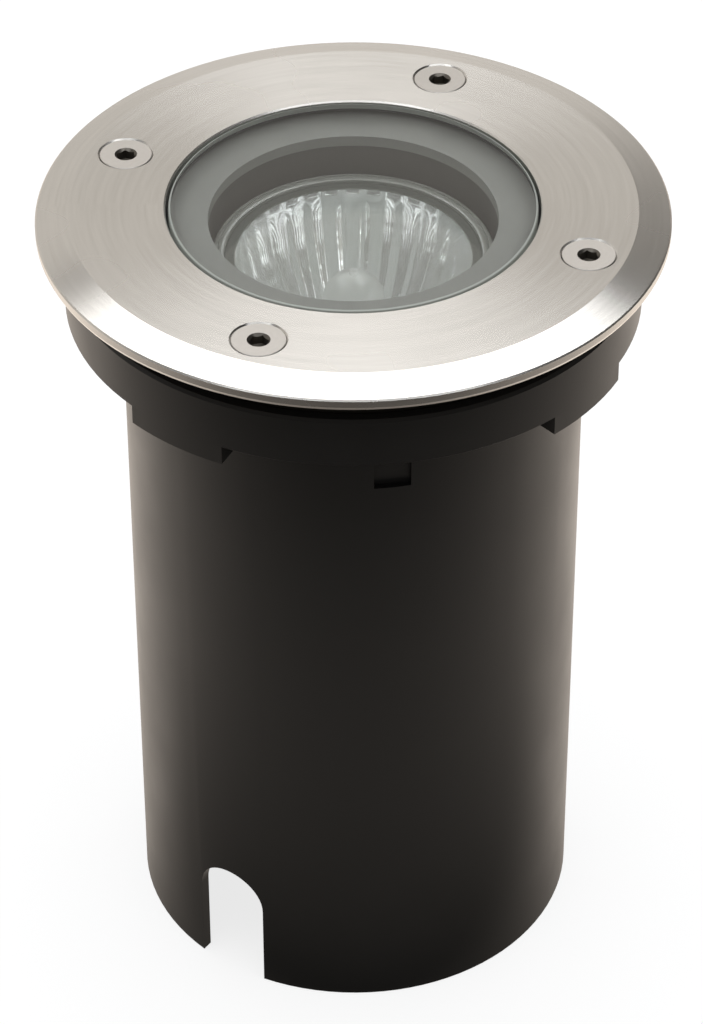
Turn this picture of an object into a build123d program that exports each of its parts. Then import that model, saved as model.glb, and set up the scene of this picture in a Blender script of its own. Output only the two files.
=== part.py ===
from build123d import *
import math
import os

# Recessed ground light, in millimetres. The origin is the centre of the sleeve's bottom rim, +Z is up.
# Lengths are named for what they measure, and "gap" or "clearance" is the room that a fit leaves.

# Mounting sleeve
cable_room = 26.7
sleeve_wall = 2.0
collar_step = 9.75
collar_height = 9.6
collar_wall = 2.1
collar_web = 2.0
collar_edge = 0.5
lug_drop = 3.1
lug_span = 22.0
lug_wall = 2.0
lug_directions = (-127.0, -37.0, 53.0, 143.0)
notch_width = 14.0
notch_height = 24.3
notch_direction = -125.0
window_width = 6.4
window_height = 6.5
window_drop = 5.7
window_depth = 1.2
window_directions = (-80.8, 99.2)

# Lamp housing
flange_clearance = 0.5
skirt_wall = 2.0
skirt_reach = 1.2
pocket_clearance = 0.5
pocket_floor_thickness = 3.4
pot_wall = 3.3
pot_floor_thickness = 5.0
boss_radius = 4.6
boss_end = 1.5
rib_count = 8
rib_thickness = 2.0
rib_height = 24.0
rib_foot = 2.5
rib_reach_gap = 1.0
cast_edge = 0.6

# Bezel and its screws
bezel_overhang = 4.5
bezel_opening_radius = 32.5
bezel_land = 0.6
bezel_chamfer_width = 5.7
bezel_chamfer_drop = 1.5
bezel_lip_width = 2.6
bezel_lip_drop = 0.7
bezel_lip_rise = 0.55
bezel_edge = 0.25
screw_count = 4
screw_direction = -21.5
screw_radius = 2.5
screw_length = 14.0
screw_inner_wall = 2.4
screw_outer_wall = 2.5
screw_head_radius = 4.6
screw_head_sink = 0.1
screw_socket = 3.0
screw_socket_depth = 1.9
screw_socket_lead = 0.25
screw_hole_clearance = 0.25
thread_clearance = 0.08
fit_clearance = 0.05

# Front glass and seals
glass_flange_thickness = 2.8
glass_shoulder = 5.85
glass_gap = 0.85
glass_recess = 0.1
glass_bevel = 0.8
seal_thickness = 0.5
seal_clearance = 0.15
gasket_thickness = 2.0
gasket_overhang = 0.3

# Lamp
lamp_air_gap = 7.3
lamp_side_gap = 0.75
lamp_radius = 24.75
lamp_rim_width = 2.45
lamp_rim_height = 3.4
lamp_cover_seat = 1.6
lamp_cover_thickness = 1.2
lamp_cover_recess = 0.3
lamp_bowl_height = 33.5
lamp_bowl_wall = 2.4
lamp_bowl_bow = 0.1
lamp_neck_wall = 2.6
lamp_neck_length = 7.5
lamp_base_wall = 1.6
lamp_base_floor = 5.5
lamp_base_grip = 5.0
capsule_radius = 5.5
capsule_wall = 0.8
capsule_side_gap = 0.9
capsule_recess = 5.3
capsule_stem_radius = 4.4
capsule_stem_length = 11.0
filament_span = 6.0
filament_radius = 0.6
filament_post_radius = 0.35
filament_post_length = 14.0

# Lamp pins and holder
pin_spacing = 10.0
pin_radius = 1.6
pin_head_radius = 2.4
pin_shank_length = 4.2
pin_head_length = 2.8
pin_play = 0.2
pin_side_clearance = 0.3
twist_angle = 15.0
holder_radius = 13.0
holder_height = 14.0
contact_thickness = 0.5
contact_width = 4.2
holder_screw_radius = 1.5
holder_screw_depth = 5.0
holder_screw_offset = 9.0
holder_screw_head_radius = 2.8
holder_screw_head_height = 1.8

# Holder bracket and the screws in the floor of the pot
bracket_thickness = 1.5
bracket_width = 12.0
bracket_side_gap = 2.3
foot_edge = 0.5
fixing_screw_radius = 2.0
fixing_screw_depth = 3.6
fixing_screw_head_radius = 3.5
fixing_screw_head_height = 2.2
driver_slot_width = 0.8
driver_slot_depth = 0.9

# Terminal block
block_width = 17.0
block_height = 13.0
block_setback = 16.0
block_clearance = 0.4
pole_count = 3
pole_wall = 0.2
block_groove_width = 1.6
block_groove_depth = 2.5
tube_radius = 2.2
tube_bore_radius = 1.25
tube_inset = 1.5
tube_drop = 0.5
wire_screw_radius = 1.2
wire_screw_spacing = 8.0
wire_screw_sink = 1.0
block_screw_radius = 1.3
block_screw_depth = 3.6
block_screw_head_radius = 2.0
block_screw_head_height = 1.4
post_radius = 2.8

# Leads and earth point
lead_radius = 1.0
lead_hole_clearance = 0.2
lead_bend_room = 2.8
lead_block_gap = 0.3
lead_side = 6.5
lead_entry_length = 6.0
lead_bend_share = 0.45
earth_lead_side = 5.0
earth_lead_shift = 2.5
earth_direction = 136.0
earth_wall_gap = 1.0
earth_ring_radius = 3.6
earth_ring_thickness = 0.8
earth_barrel_radius = 1.6
earth_barrel_length = 4.0
earth_tongue_width = 2.4
earth_tongue_lap = 0.6

# Cable gland
gland_wall_gap = 3.5
gland_thread_radius = 7.6
gland_bore_radius = 4.5
gland_hex_wall = 1.9
gland_hex_height = 5.0
gland_cage_step = 0.6
gland_cage_wall = 0.9
gland_cage_length = 6.5
gland_washer_thickness = 1.5
gland_washer_rim = 0.1
gland_thread_free = 0.8
locknut_height = 3.5
gland_nut_length = 13.5
gland_nut_nose_height = 4.5
gland_nut_nose_wall = 2.3
gland_nut_gap = 0.3

# Lengths that follow from the sizes above
bezel_thickness = screw_head_sink + screw_head_radius - screw_radius + bezel_land
glass_rise = seal_thickness + bezel_thickness - glass_recess
wiring_height = (locknut_height + gland_thread_free + block_clearance + block_height
                 + lead_block_gap + 2 * lead_bend_room)
slot_depth = pin_shank_length + pin_head_length + pin_play + contact_thickness

# Heights, from the bottom rim of the sleeve up to the top of the bezel
gland_nut_bottom = cable_room
gland_nut_top = gland_nut_bottom + gland_nut_length
gland_hex_bottom = gland_nut_top + gland_nut_gap
gland_cage_bottom = gland_hex_bottom - gland_cage_length
gland_hex_top = gland_hex_bottom + gland_hex_height
pot_bottom = gland_hex_top + gland_washer_thickness
pot_floor = pot_bottom + pot_floor_thickness
locknut_top = pot_floor + locknut_height
gland_top = locknut_top + gland_thread_free
block_bottom = gland_top + block_clearance
block_top = block_bottom + block_height
groove_floor = block_top - block_groove_depth
wire_height = block_bottom + block_height / 2 - tube_drop
bracket_bottom = pot_floor + wiring_height
bracket_top = bracket_bottom + bracket_thickness
holder_top = bracket_top + holder_height
slot_floor = holder_top - slot_depth
neck_bottom = holder_top + lamp_base_floor
bowl_bottom = neck_bottom + lamp_neck_length
lamp_front = bowl_bottom + lamp_bowl_height
glass_bottom = lamp_front + lamp_air_gap
glass_step = glass_bottom + glass_flange_thickness
glass_top = glass_step + glass_rise
flange_top = glass_step + seal_thickness
bezel_top = flange_top + bezel_thickness

# Heights, from the bezel back down to the collar and its lugs
pocket_floor = glass_bottom - gasket_thickness
flange_web_bottom = pocket_floor - pocket_floor_thickness
screw_bottom = bezel_top - screw_length
boss_bottom = screw_bottom - boss_end
seat_height = boss_bottom - skirt_reach
collar_bottom = seat_height - collar_web
sleeve_height = collar_bottom + collar_height
lug_bottom = collar_bottom - lug_drop

# Radii, from the glass out to the rim of the bezel
glass_top_radius = bezel_opening_radius - glass_gap
glass_flange_radius = glass_top_radius + glass_shoulder
seal_bore_radius = glass_top_radius + seal_clearance
pocket_radius = glass_flange_radius + pocket_clearance
screw_circle_radius = pocket_radius + screw_inner_wall + screw_radius
flange_radius = screw_circle_radius + screw_radius + screw_outer_wall
skirt_bore_radius = flange_radius - skirt_wall
collar_bore_radius = flange_radius + flange_clearance
collar_radius = collar_bore_radius + collar_wall
bezel_radius = collar_radius + bezel_overhang
sleeve_radius = collar_radius - collar_step
sleeve_bore_radius = sleeve_radius - sleeve_wall
wall_cut = 4 * sleeve_wall

# Radii of the lamp and of the pot around it
pot_bore_radius = lamp_radius + lamp_side_gap
pot_radius = pot_bore_radius + pot_wall
gasket_bore_radius = pot_bore_radius - gasket_overhang
lamp_cover_radius = lamp_radius - lamp_rim_width
lamp_mouth_radius = lamp_cover_radius - lamp_cover_seat
lamp_neck_bore_radius = capsule_radius + capsule_side_gap
lamp_neck_radius = lamp_neck_bore_radius + lamp_neck_wall
lamp_base_radius = lamp_neck_radius + lamp_base_wall

# Places on the floor of the pot
bracket_half_span = math.sqrt(pot_bore_radius ** 2 - (bracket_width / 2) ** 2) - bracket_side_gap
bracket_screw_inset = bracket_thickness + fixing_screw_head_radius + foot_edge
bracket_screw_x = bracket_half_span - bracket_screw_inset
foot_length = bracket_screw_inset + fixing_screw_head_radius + foot_edge
pole_pitch = 2 * (tube_radius + fit_clearance + pole_wall + block_screw_radius + screw_hole_clearance)
block_length = pole_count * pole_pitch
tube_length = block_width - 2 * tube_inset
gland_hex_width = 2 * (gland_thread_radius + gland_hex_wall)
gland_cage_radius = gland_thread_radius - gland_cage_step
gland_washer_radius = gland_hex_width / 2 + gland_washer_rim
gland_nut_nose_radius = gland_bore_radius + gland_nut_nose_wall
gland_offset = gland_wall_gap + gland_hex_width / 2 - pot_bore_radius
block_offset = gland_offset + block_setback
block_face = block_offset + block_width / 2
earth_circle_radius = pot_bore_radius - earth_wall_gap - earth_ring_radius
earth_x = earth_circle_radius * math.cos(math.radians(earth_direction))
earth_y = earth_circle_radius * math.sin(math.radians(earth_direction))


def turned(points, start=0.0, span=360.0):
    """Turn a profile of (radius, height) corners about Z, from the direction start over span degrees."""
    profile = make_face(Polyline(*[(radius, 0, height) for radius, height in points], close=True))
    return Rot(0, 0, start) * revolve(profile, Axis.Z, revolution_arc=span)


def tube(outer, inner, bottom, top, start=0.0, span=360.0):
    """A tube, or a sector of one, standing between two heights."""
    return turned([(inner, bottom), (outer, bottom), (outer, top), (inner, top)], start, span)


def rod(radius, bottom, top, x=0.0, y=0.0):
    """A round bar standing between two heights."""
    low_end = (Align.CENTER, Align.CENTER, Align.MIN)
    return Pos(x, y, bottom) * Cylinder(radius, top - bottom, align=low_end)


def block(x_size, y_size, bottom, top, x=0.0, y=0.0):
    """A rectangular bar standing between two heights."""
    low_end = (Align.CENTER, Align.CENTER, Align.MIN)
    return Pos(x, y, bottom) * Box(x_size, y_size, top - bottom, align=low_end)


def hexagon(width, bottom, top, x=0.0, y=0.0):
    """A hexagonal bar of the given width across flats."""
    outline = RegularPolygon(width / 2, 6, major_radius=False)
    return Pos(x, y, bottom) * extrude(outline, top - bottom)


def arc_slot(radius, start, span, width, bottom, top):
    """A curved slot that follows a circle about Z."""
    outline = SlotArc(CenterArc((0, 0), radius, start, span), width)
    return Pos(0, 0, bottom) * extrude(outline, top - bottom)


def toward(direction, radius):
    """The x and y of the point at a direction in degrees and a radius."""
    angle = math.radians(direction)
    return radius * math.cos(angle), radius * math.sin(angle)


def screw_places():
    """Directions of the bezel screws."""
    step = 360 / screw_count
    return [screw_direction + step * index for index in range(screw_count)]


def pole_places():
    """The x of each pole of the terminal block."""
    middle = (pole_count - 1) / 2
    return [pole_pitch * (index - middle) for index in range(pole_count)]


def gap_places():
    """The x of each gap between two poles."""
    poles = pole_places()
    return [(left + right) / 2 for left, right in zip(poles, poles[1:])]


def slotted_screw(radius, depth, head_radius, head_height, seat, x, y):
    """A cheese head screw whose head sits on the height seat."""
    head = rod(head_radius, seat, seat + head_height, x, y)
    slot = block(2 * head_radius, driver_slot_width, seat + head_height - driver_slot_depth,
                 seat + head_height, x, y)
    return head + rod(radius, seat - depth, seat, x, y) - slot


def lead_tube(points, first_room=math.inf):
    """A lead along straight runs with a tangent arc at each point, as wide as its runs allow.

    first_room limits how far the first arc reaches back up its run.
    """
    corners = [Vector(*point) for point in points]
    runs = [after - before for before, after in zip(corners, corners[1:])]
    rooms = [lead_bend_share * min(run.length, following.length) for run, following in zip(runs, runs[1:])]
    rooms[0] = min(rooms[0], first_room)
    radii = []
    for run, following, room in zip(runs, runs[1:], rooms):
        half_turn = math.radians(run.get_angle(following)) / 2
        radii.append(room / math.tan(half_turn))
    print("lead radii", [round(radius, 2) for radius in radii])
    route = FilletPolyline(*corners, radius=radii)
    section = Plane(corners[0], z_dir=runs[0]) * Circle(lead_radius)
    lead = sweep(section, path=route)
    expected = math.pi * lead_radius ** 2 * route.length
    print("lead volume", round(lead.volume, 3), "section times length", round(expected, 3))
    return lead


def mounting_sleeve():
    """Plastic sleeve: a tube with a stepped collar, hollow lugs, shallow windows and a cable notch."""
    body = turned([
        (sleeve_bore_radius, 0),
        (sleeve_radius, 0),
        (sleeve_radius, collar_bottom),
        (collar_radius - collar_edge, collar_bottom),
        (collar_radius, collar_bottom + collar_edge),
        (collar_radius, sleeve_height - collar_edge),
        (collar_radius - collar_edge, sleeve_height),
        (collar_bore_radius, sleeve_height),
        (collar_bore_radius, seat_height),
        (sleeve_bore_radius, seat_height),
    ])
    middle_radius = (sleeve_bore_radius + sleeve_radius) / 2
    wall_turn = math.degrees(lug_wall / middle_radius)
    for direction in lug_directions:
        start = direction - lug_span / 2
        body += tube(collar_radius, middle_radius, lug_bottom, collar_bottom + collar_edge, start, lug_span)
    for direction in lug_directions:
        start = direction - lug_span / 2 + wall_turn
        span = lug_span - 2 * wall_turn
        body -= tube(collar_bore_radius, sleeve_radius, lug_bottom + collar_web, seat_height, start, span)
    for direction in window_directions:
        window = block(2 * window_depth, window_width, collar_bottom - window_drop - window_height,
                       collar_bottom - window_drop, sleeve_radius)
        body -= Rot(0, 0, direction) * window
    arch_height = notch_height - notch_width / 2
    arch = Pos(sleeve_radius, 0, arch_height) * Rot(0, 90, 0) * Cylinder(notch_width / 2, wall_cut)
    opening = arch + block(wall_cut, notch_width, 0, arch_height, sleeve_radius)
    return body - Rot(0, 0, notch_direction) * opening


def cast_pot():
    """The turned shape of the housing: pot, floor, flange with the glass pocket, and skirt."""
    return turned([
        (0, pot_bottom),
        (pot_radius - cast_edge, pot_bottom),
        (pot_radius, pot_bottom + cast_edge),
        (pot_radius, flange_web_bottom),
        (skirt_bore_radius, flange_web_bottom),
        (skirt_bore_radius, seat_height),
        (flange_radius, seat_height),
        (flange_radius, flange_top - cast_edge),
        (flange_radius - cast_edge, flange_top),
        (pocket_radius, flange_top),
        (pocket_radius, pocket_floor),
        (pot_bore_radius, pocket_floor),
        (pot_bore_radius, pot_floor),
        (0, pot_floor),
    ])


def cooling_rib(direction):
    """A tapered rib between the pot and the flange."""
    root = pot_radius - pot_wall / 2
    reach = sleeve_bore_radius - rib_reach_gap
    outline = make_face(Polyline(
        (root, 0, flange_web_bottom),
        (reach, 0, flange_web_bottom),
        (reach, 0, flange_web_bottom - rib_foot),
        (root, 0, flange_web_bottom - rib_height),
        close=True,
    ))
    return Rot(0, 0, direction) * extrude(outline, rib_thickness / 2, both=True)


def lamp_housing():
    """Die-cast housing with screw bosses, cooling ribs, posts for the block and its tapped holes."""
    body = cast_pot()
    outside = rod(flange_radius, seat_height, flange_top)
    for direction in screw_places():
        x, y = toward(direction, screw_circle_radius)
        boss = rod(boss_radius, boss_bottom, flange_web_bottom, x, y)
        body += boss & outside
    rib_step = 360 / rib_count
    for index in range(rib_count):
        body += cooling_rib(rib_step * (index + 0.5))
    for x in gap_places():
        body += rod(post_radius, pot_floor, block_bottom, x, block_offset)
    for direction in screw_places():
        x, y = toward(direction, screw_circle_radius)
        body -= rod(screw_radius + thread_clearance, boss_bottom, flange_top, x, y)
    for x in gap_places():
        body -= rod(block_screw_radius + thread_clearance, block_bottom - block_screw_depth,
                    block_bottom, x, block_offset)
    for side in (-1, 1):
        body -= rod(fixing_screw_radius + thread_clearance, pot_floor - fixing_screw_depth,
                    pot_floor, side * bracket_screw_x)
    body -= rod(fixing_screw_radius + thread_clearance, pot_floor - fixing_screw_depth,
                pot_floor, earth_x, earth_y)
    return body - rod(gland_thread_radius + thread_clearance, pot_bottom, pot_floor, 0, gland_offset)


def glass_gasket():
    """Flat silicone ring between the glass and the floor of its pocket."""
    return tube(pocket_radius - seal_clearance, gasket_bore_radius, pocket_floor, glass_bottom)


def bezel_seal():
    """Thin ring between the glass shoulder and the bezel."""
    return tube(glass_flange_radius, seal_bore_radius, glass_step, flange_top)


def front_glass():
    """Stepped glass whose raised middle fills the bezel opening."""
    return turned([
        (0, glass_bottom),
        (glass_flange_radius - seal_clearance, glass_bottom),
        (glass_flange_radius, glass_bottom + seal_clearance),
        (glass_flange_radius, glass_step),
        (glass_top_radius, glass_step),
        (glass_top_radius, glass_top - glass_bevel),
        (glass_top_radius - glass_bevel, glass_top),
        (0, glass_top),
    ])


def bezel_ring():
    """Stainless ring with a wide chamfer, a small drip lip and countersunk holes."""
    edge_top = bezel_top - bezel_chamfer_drop
    body = turned([
        (bezel_opening_radius, flange_top),
        (bezel_radius - bezel_lip_width, flange_top),
        (bezel_radius - bezel_lip_width, flange_top - bezel_lip_drop),
        (bezel_radius - bezel_edge, flange_top - bezel_lip_drop),
        (bezel_radius, flange_top - bezel_lip_drop + bezel_lip_rise),
        (bezel_radius, edge_top - bezel_edge),
        (bezel_radius - bezel_edge, edge_top),
        (bezel_radius - bezel_chamfer_width, bezel_top),
        (bezel_opening_radius + bezel_edge, bezel_top),
        (bezel_opening_radius, bezel_top - bezel_edge),
    ])
    hole_radius = screw_radius + screw_hole_clearance
    sink_radius = screw_head_radius + screw_head_sink + screw_hole_clearance
    hole = turned([
        (0, flange_top),
        (hole_radius, flange_top),
        (hole_radius, bezel_top - (sink_radius - hole_radius)),
        (sink_radius, bezel_top),
        (0, bezel_top),
    ])
    for direction in screw_places():
        x, y = toward(direction, screw_circle_radius)
        body -= Pos(x, y, 0) * hole
    return body


def bezel_screw(direction):
    """Countersunk screw with a hexagon socket."""
    head_top = bezel_top - screw_head_sink
    cone_bottom = head_top - (screw_head_radius - screw_radius)
    shape = turned([
        (0, screw_bottom),
        (screw_radius, screw_bottom),
        (screw_radius, cone_bottom),
        (screw_head_radius, head_top),
        (0, head_top),
    ])
    shape -= hexagon(screw_socket, head_top - screw_socket_depth, head_top)
    lead_in = screw_socket / math.sqrt(3)
    shape -= turned([
        (0, head_top - screw_socket_lead),
        (lead_in, head_top - screw_socket_lead),
        (lead_in + screw_socket_lead, head_top),
        (0, head_top),
    ])
    x, y = toward(direction, screw_circle_radius)
    return Pos(x, y, 0) * Rot(0, 0, direction) * shape


def bowl_curve(top_radius, top_height, bottom_radius, bottom_height):
    """A line from the mouth of the reflector to its neck in the XZ plane, bowed away from the axis."""
    start = Vector(top_radius, 0, top_height)
    end = Vector(bottom_radius, 0, bottom_height)
    bow = lamp_bowl_bow * (start - end).length
    across = (end - start).normalized().cross(Vector(0, 1, 0))
    return ThreePointArc(start, (start + end) / 2 + across * bow, end)


def lamp_reflector():
    """Reflector bowl with a rim, a seat for the cover glass and a neck."""
    cover_seat = lamp_front - lamp_cover_recess - lamp_cover_thickness
    cover_bore = lamp_cover_radius + fit_clearance
    rim_bottom = lamp_front - lamp_rim_height
    bowl_floor = bowl_bottom + lamp_bowl_wall
    outside_bowl = bowl_curve(lamp_radius - lamp_bowl_wall / 2, rim_bottom, lamp_neck_radius, bowl_bottom)
    inside_bowl = bowl_curve(lamp_mouth_radius, cover_seat, lamp_neck_bore_radius, bowl_floor)
    rim = Polyline(
        (lamp_mouth_radius, 0, cover_seat),
        (cover_bore, 0, cover_seat),
        (cover_bore, 0, lamp_front),
        (lamp_radius, 0, lamp_front),
        (lamp_radius, 0, rim_bottom),
        (lamp_radius - lamp_bowl_wall / 2, 0, rim_bottom),
    )
    neck = Polyline(
        (lamp_neck_radius, 0, bowl_bottom),
        (lamp_neck_radius, 0, neck_bottom),
        (lamp_neck_bore_radius, 0, neck_bottom),
        (lamp_neck_bore_radius, 0, bowl_floor),
    )
    return revolve(make_face([rim, outside_bowl, neck, inside_bowl]), Axis.Z)


def lamp_cover_glass():
    """Thin disc across the mouth of the reflector."""
    top = lamp_front - lamp_cover_recess
    return rod(lamp_cover_radius, top - lamp_cover_thickness, top)


def lamp_capsule():
    """Hollow glass bulb with a domed top and a solid stem that stands on the lamp base."""
    stem_top = neck_bottom + capsule_stem_length
    dome_height = lamp_front - capsule_recess - capsule_radius
    outside = rod(capsule_radius, stem_top - capsule_wall, dome_height)
    outside += Pos(0, 0, dome_height) * Sphere(capsule_radius)
    inside_radius = capsule_radius - capsule_wall
    inside = rod(inside_radius, stem_top, dome_height)
    inside += Pos(0, 0, dome_height) * Sphere(inside_radius)
    return outside - inside + rod(capsule_stem_radius, neck_bottom, stem_top)


def lamp_filament():
    """Coil between two posts that stand on the stem of the capsule."""
    foot = neck_bottom + capsule_stem_length
    coil_height = foot + filament_post_length
    coil = Pos(0, 0, coil_height) * Rot(0, 90, 0) * Cylinder(filament_radius, filament_span)
    post_x = filament_span / 2 - filament_post_radius
    for side in (-1, 1):
        coil += rod(filament_post_radius, foot, coil_height, side * post_x)
    return coil


def lamp_base():
    """Ceramic cup cemented to the neck of the lamp."""
    cup = turned([
        (0, holder_top),
        (lamp_base_radius - cast_edge, holder_top),
        (lamp_base_radius, holder_top + cast_edge),
        (lamp_base_radius, neck_bottom + lamp_base_grip),
        (0, neck_bottom + lamp_base_grip),
    ])
    return cup - rod(lamp_neck_radius + fit_clearance, neck_bottom, neck_bottom + lamp_base_grip)


def lamp_pins():
    """Two contact pins with wide heads under the lamp base."""
    head_top = holder_top - pin_shank_length
    pins = []
    for side in (-1, 1):
        x = side * pin_spacing / 2
        shank = rod(pin_radius, head_top, holder_top, x)
        pins.append(shank + rod(pin_head_radius, head_top - pin_head_length, head_top, x))
    return pins


def lamp_holder():
    """Ceramic holder whose two curved slots lock the pins after a twist."""
    body = turned([
        (0, bracket_top),
        (holder_radius, bracket_top),
        (holder_radius, holder_top - cast_edge),
        (holder_radius - cast_edge, holder_top),
        (0, holder_top),
    ])
    circle = pin_spacing / 2
    shank_room = pin_radius + pin_side_clearance
    head_room = pin_head_radius + pin_side_clearance
    plate_bottom = holder_top - pin_shank_length + pin_play
    for start in (0, 180):
        body -= arc_slot(circle, start, twist_angle, 2 * shank_room, plate_bottom, holder_top)
        body -= arc_slot(circle, start, twist_angle, 2 * head_room, slot_floor, plate_bottom)
        entry_x, entry_y = toward(start + twist_angle, circle)
        body -= rod(head_room, plate_bottom, holder_top, entry_x, entry_y)
        lead_x, lead_y = toward(start, circle)
        body -= rod(lead_radius + lead_hole_clearance, bracket_top, slot_floor, lead_x, lead_y)
    for side in (-1, 1):
        body -= rod(holder_screw_radius + thread_clearance, bracket_top, bracket_top + holder_screw_depth,
                    0, side * holder_screw_offset)
    return body


def holder_contacts():
    """Two contact plates on the floors of the slots."""
    contact_top = slot_floor + contact_thickness
    return [
        arc_slot(pin_spacing / 2, start, twist_angle, contact_width, slot_floor, contact_top)
        for start in (0, 180)
    ]


def holder_screws():
    """Two screws through the bracket into the holder, heads below."""
    depth = bracket_thickness + holder_screw_depth - thread_clearance
    upright = slotted_screw(holder_screw_radius, depth, holder_screw_head_radius,
                            holder_screw_head_height, 0, 0, 0)
    return [
        Pos(0, side * holder_screw_offset, bracket_bottom) * Rot(180, 0, 0) * upright
        for side in (-1, 1)
    ]


def holder_bracket():
    """Bent steel strap: a plate under the holder on two legs with inturned feet."""
    body = block(2 * bracket_half_span, bracket_width, bracket_bottom, bracket_top)
    body += rod(holder_radius, bracket_bottom, bracket_top)
    foot_top = pot_floor + bracket_thickness
    leg_x = bracket_half_span - bracket_thickness / 2
    foot_x = bracket_half_span - foot_length / 2
    for side in (-1, 1):
        body += block(bracket_thickness, bracket_width, pot_floor, bracket_top, side * leg_x)
        body += block(foot_length, bracket_width, pot_floor, foot_top, side * foot_x)
    for side in (-1, 1):
        body -= rod(fixing_screw_radius + screw_hole_clearance, pot_floor, foot_top,
                    side * bracket_screw_x)
        body -= rod(lead_radius + lead_hole_clearance, bracket_bottom, bracket_top, side * pin_spacing / 2)
        body -= rod(holder_screw_radius + thread_clearance, bracket_bottom, bracket_top,
                    0, side * holder_screw_offset)
    return body


def bracket_screws():
    """Two screws through the feet of the bracket into the floor of the pot."""
    seat = pot_floor + bracket_thickness
    depth = bracket_thickness + fixing_screw_depth - thread_clearance
    return [
        slotted_screw(fixing_screw_radius, depth, fixing_screw_head_radius, fixing_screw_head_height,
                      seat, side * bracket_screw_x, 0)
        for side in (-1, 1)
    ]


def terminal_block():
    """Three-pole block with a bore, two screw wells per pole and grooves between the poles."""
    body = block(block_length, block_width, block_bottom, block_top, 0, block_offset)
    for x in gap_places():
        body -= block(block_groove_width, block_width, groove_floor, block_top, x, block_offset)
        body -= rod(block_screw_radius + screw_hole_clearance, block_bottom, block_top, x, block_offset)
        body -= rod(block_screw_head_radius + screw_hole_clearance, groove_floor - block_screw_head_height,
                    block_top, x, block_offset)
    for x in pole_places():
        bore = Pos(x, block_offset, wire_height) * Rot(90, 0, 0)
        body -= bore * Cylinder(tube_radius + fit_clearance, tube_length)
        body -= bore * Cylinder(lead_radius + lead_hole_clearance, block_width)
        for side in (-1, 1):
            y = block_offset + side * wire_screw_spacing / 2
            body -= rod(wire_screw_radius + screw_hole_clearance, wire_height, block_top, x, y)
    return body


def terminal_sleeves():
    """Brass tubes in the bores of the block."""
    sleeves = []
    for x in pole_places():
        place = Pos(x, block_offset, wire_height) * Rot(90, 0, 0)
        sleeve = place * (Cylinder(tube_radius, tube_length) - Cylinder(tube_bore_radius, tube_length))
        for side in (-1, 1):
            y = block_offset + side * wire_screw_spacing / 2
            sleeve -= rod(wire_screw_radius + thread_clearance, wire_height, block_top, x, y)
        sleeves.append(sleeve)
    return sleeves


def terminal_screws():
    """Slotted grub screws that press on the leads, two per pole."""
    bottom = wire_height + lead_radius
    top = block_top - wire_screw_sink
    screws = []
    for x in pole_places():
        for side in (-1, 1):
            y = block_offset + side * wire_screw_spacing / 2
            slot = block(2 * wire_screw_radius, driver_slot_width, top - driver_slot_depth, top, x, y)
            screws.append(rod(wire_screw_radius, bottom, top, x, y) - slot)
    return screws


def terminal_fixing_screws():
    """Screws between the poles that hold the block on its posts."""
    seat = groove_floor - block_screw_head_height
    depth = seat - block_bottom + block_screw_depth - thread_clearance
    return [
        slotted_screw(block_screw_radius, depth, block_screw_head_radius, block_screw_head_height,
                      seat, x, block_offset)
        for x in gap_places()
    ]


def pole_lead(side):
    """Lead from one contact of the holder down to the outer pole on the same side."""
    x = side * pin_spacing / 2
    pole_x = side * pole_pitch * (pole_count - 1) / 2
    turn_y = block_face + lead_side
    turn_height = bracket_bottom - 2 * lead_bend_room
    return lead_tube([
        (x, 0, slot_floor),
        (x, 0, bracket_bottom - lead_bend_room),
        (pole_x, turn_y, turn_height),
        (pole_x, turn_y, wire_height),
        (pole_x, block_face - lead_entry_length, wire_height),
    ], first_room=lead_bend_room)


def earth_lead():
    """Lead from the middle pole to the earth terminal on the floor of the pot."""
    barrel_height = pot_floor + earth_barrel_radius
    barrel_end = earth_x + earth_ring_radius + earth_barrel_length
    return lead_tube([
        (0, block_face - lead_entry_length, wire_height),
        (0, block_face + earth_lead_side, wire_height),
        (-earth_lead_shift, earth_y, barrel_height),
        (barrel_end, earth_y, barrel_height),
    ])


def earth_terminal():
    """Ring terminal with a crimp barrel."""
    ring_top = pot_floor + earth_ring_thickness
    tongue_length = earth_ring_radius + earth_tongue_lap
    barrel_x = earth_x + earth_ring_radius + earth_barrel_length / 2
    tongue_x = earth_x + tongue_length / 2
    body = rod(earth_ring_radius, pot_floor, ring_top, earth_x, earth_y)
    body += block(tongue_length, earth_tongue_width, pot_floor, ring_top, tongue_x, earth_y)
    barrel = Pos(barrel_x, earth_y, pot_floor + earth_barrel_radius) * Rot(0, 90, 0)
    body += barrel * Cylinder(earth_barrel_radius, earth_barrel_length)
    return body - rod(fixing_screw_radius + screw_hole_clearance, pot_floor, ring_top, earth_x, earth_y)


def earth_screw():
    """Screw that holds the earth terminal on the floor of the pot."""
    seat = pot_floor + earth_ring_thickness
    depth = earth_ring_thickness + fixing_screw_depth - thread_clearance
    return slotted_screw(fixing_screw_radius, depth, fixing_screw_head_radius, fixing_screw_head_height,
                         seat, earth_x, earth_y)


def cable_gland_body():
    """Gland body: thread through the floor, hexagon below it and a cage for the seal."""
    y = gland_offset
    body = rod(gland_thread_radius, gland_hex_top, gland_top, 0, y)
    body += hexagon(gland_hex_width, gland_hex_bottom, gland_hex_top, 0, y)
    body += rod(gland_cage_radius, gland_cage_bottom, gland_hex_bottom, 0, y)
    body -= rod(gland_cage_radius - gland_cage_wall, gland_cage_bottom, gland_hex_bottom, 0, y)
    return body - rod(gland_bore_radius, gland_cage_bottom, gland_top, 0, y)


def cable_gland_washer():
    """Flat sealing washer between the gland hexagon and the housing."""
    washer = rod(gland_washer_radius, gland_hex_top, pot_bottom, 0, gland_offset)
    return washer - rod(gland_thread_radius + thread_clearance, gland_hex_top, pot_bottom, 0, gland_offset)


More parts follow.
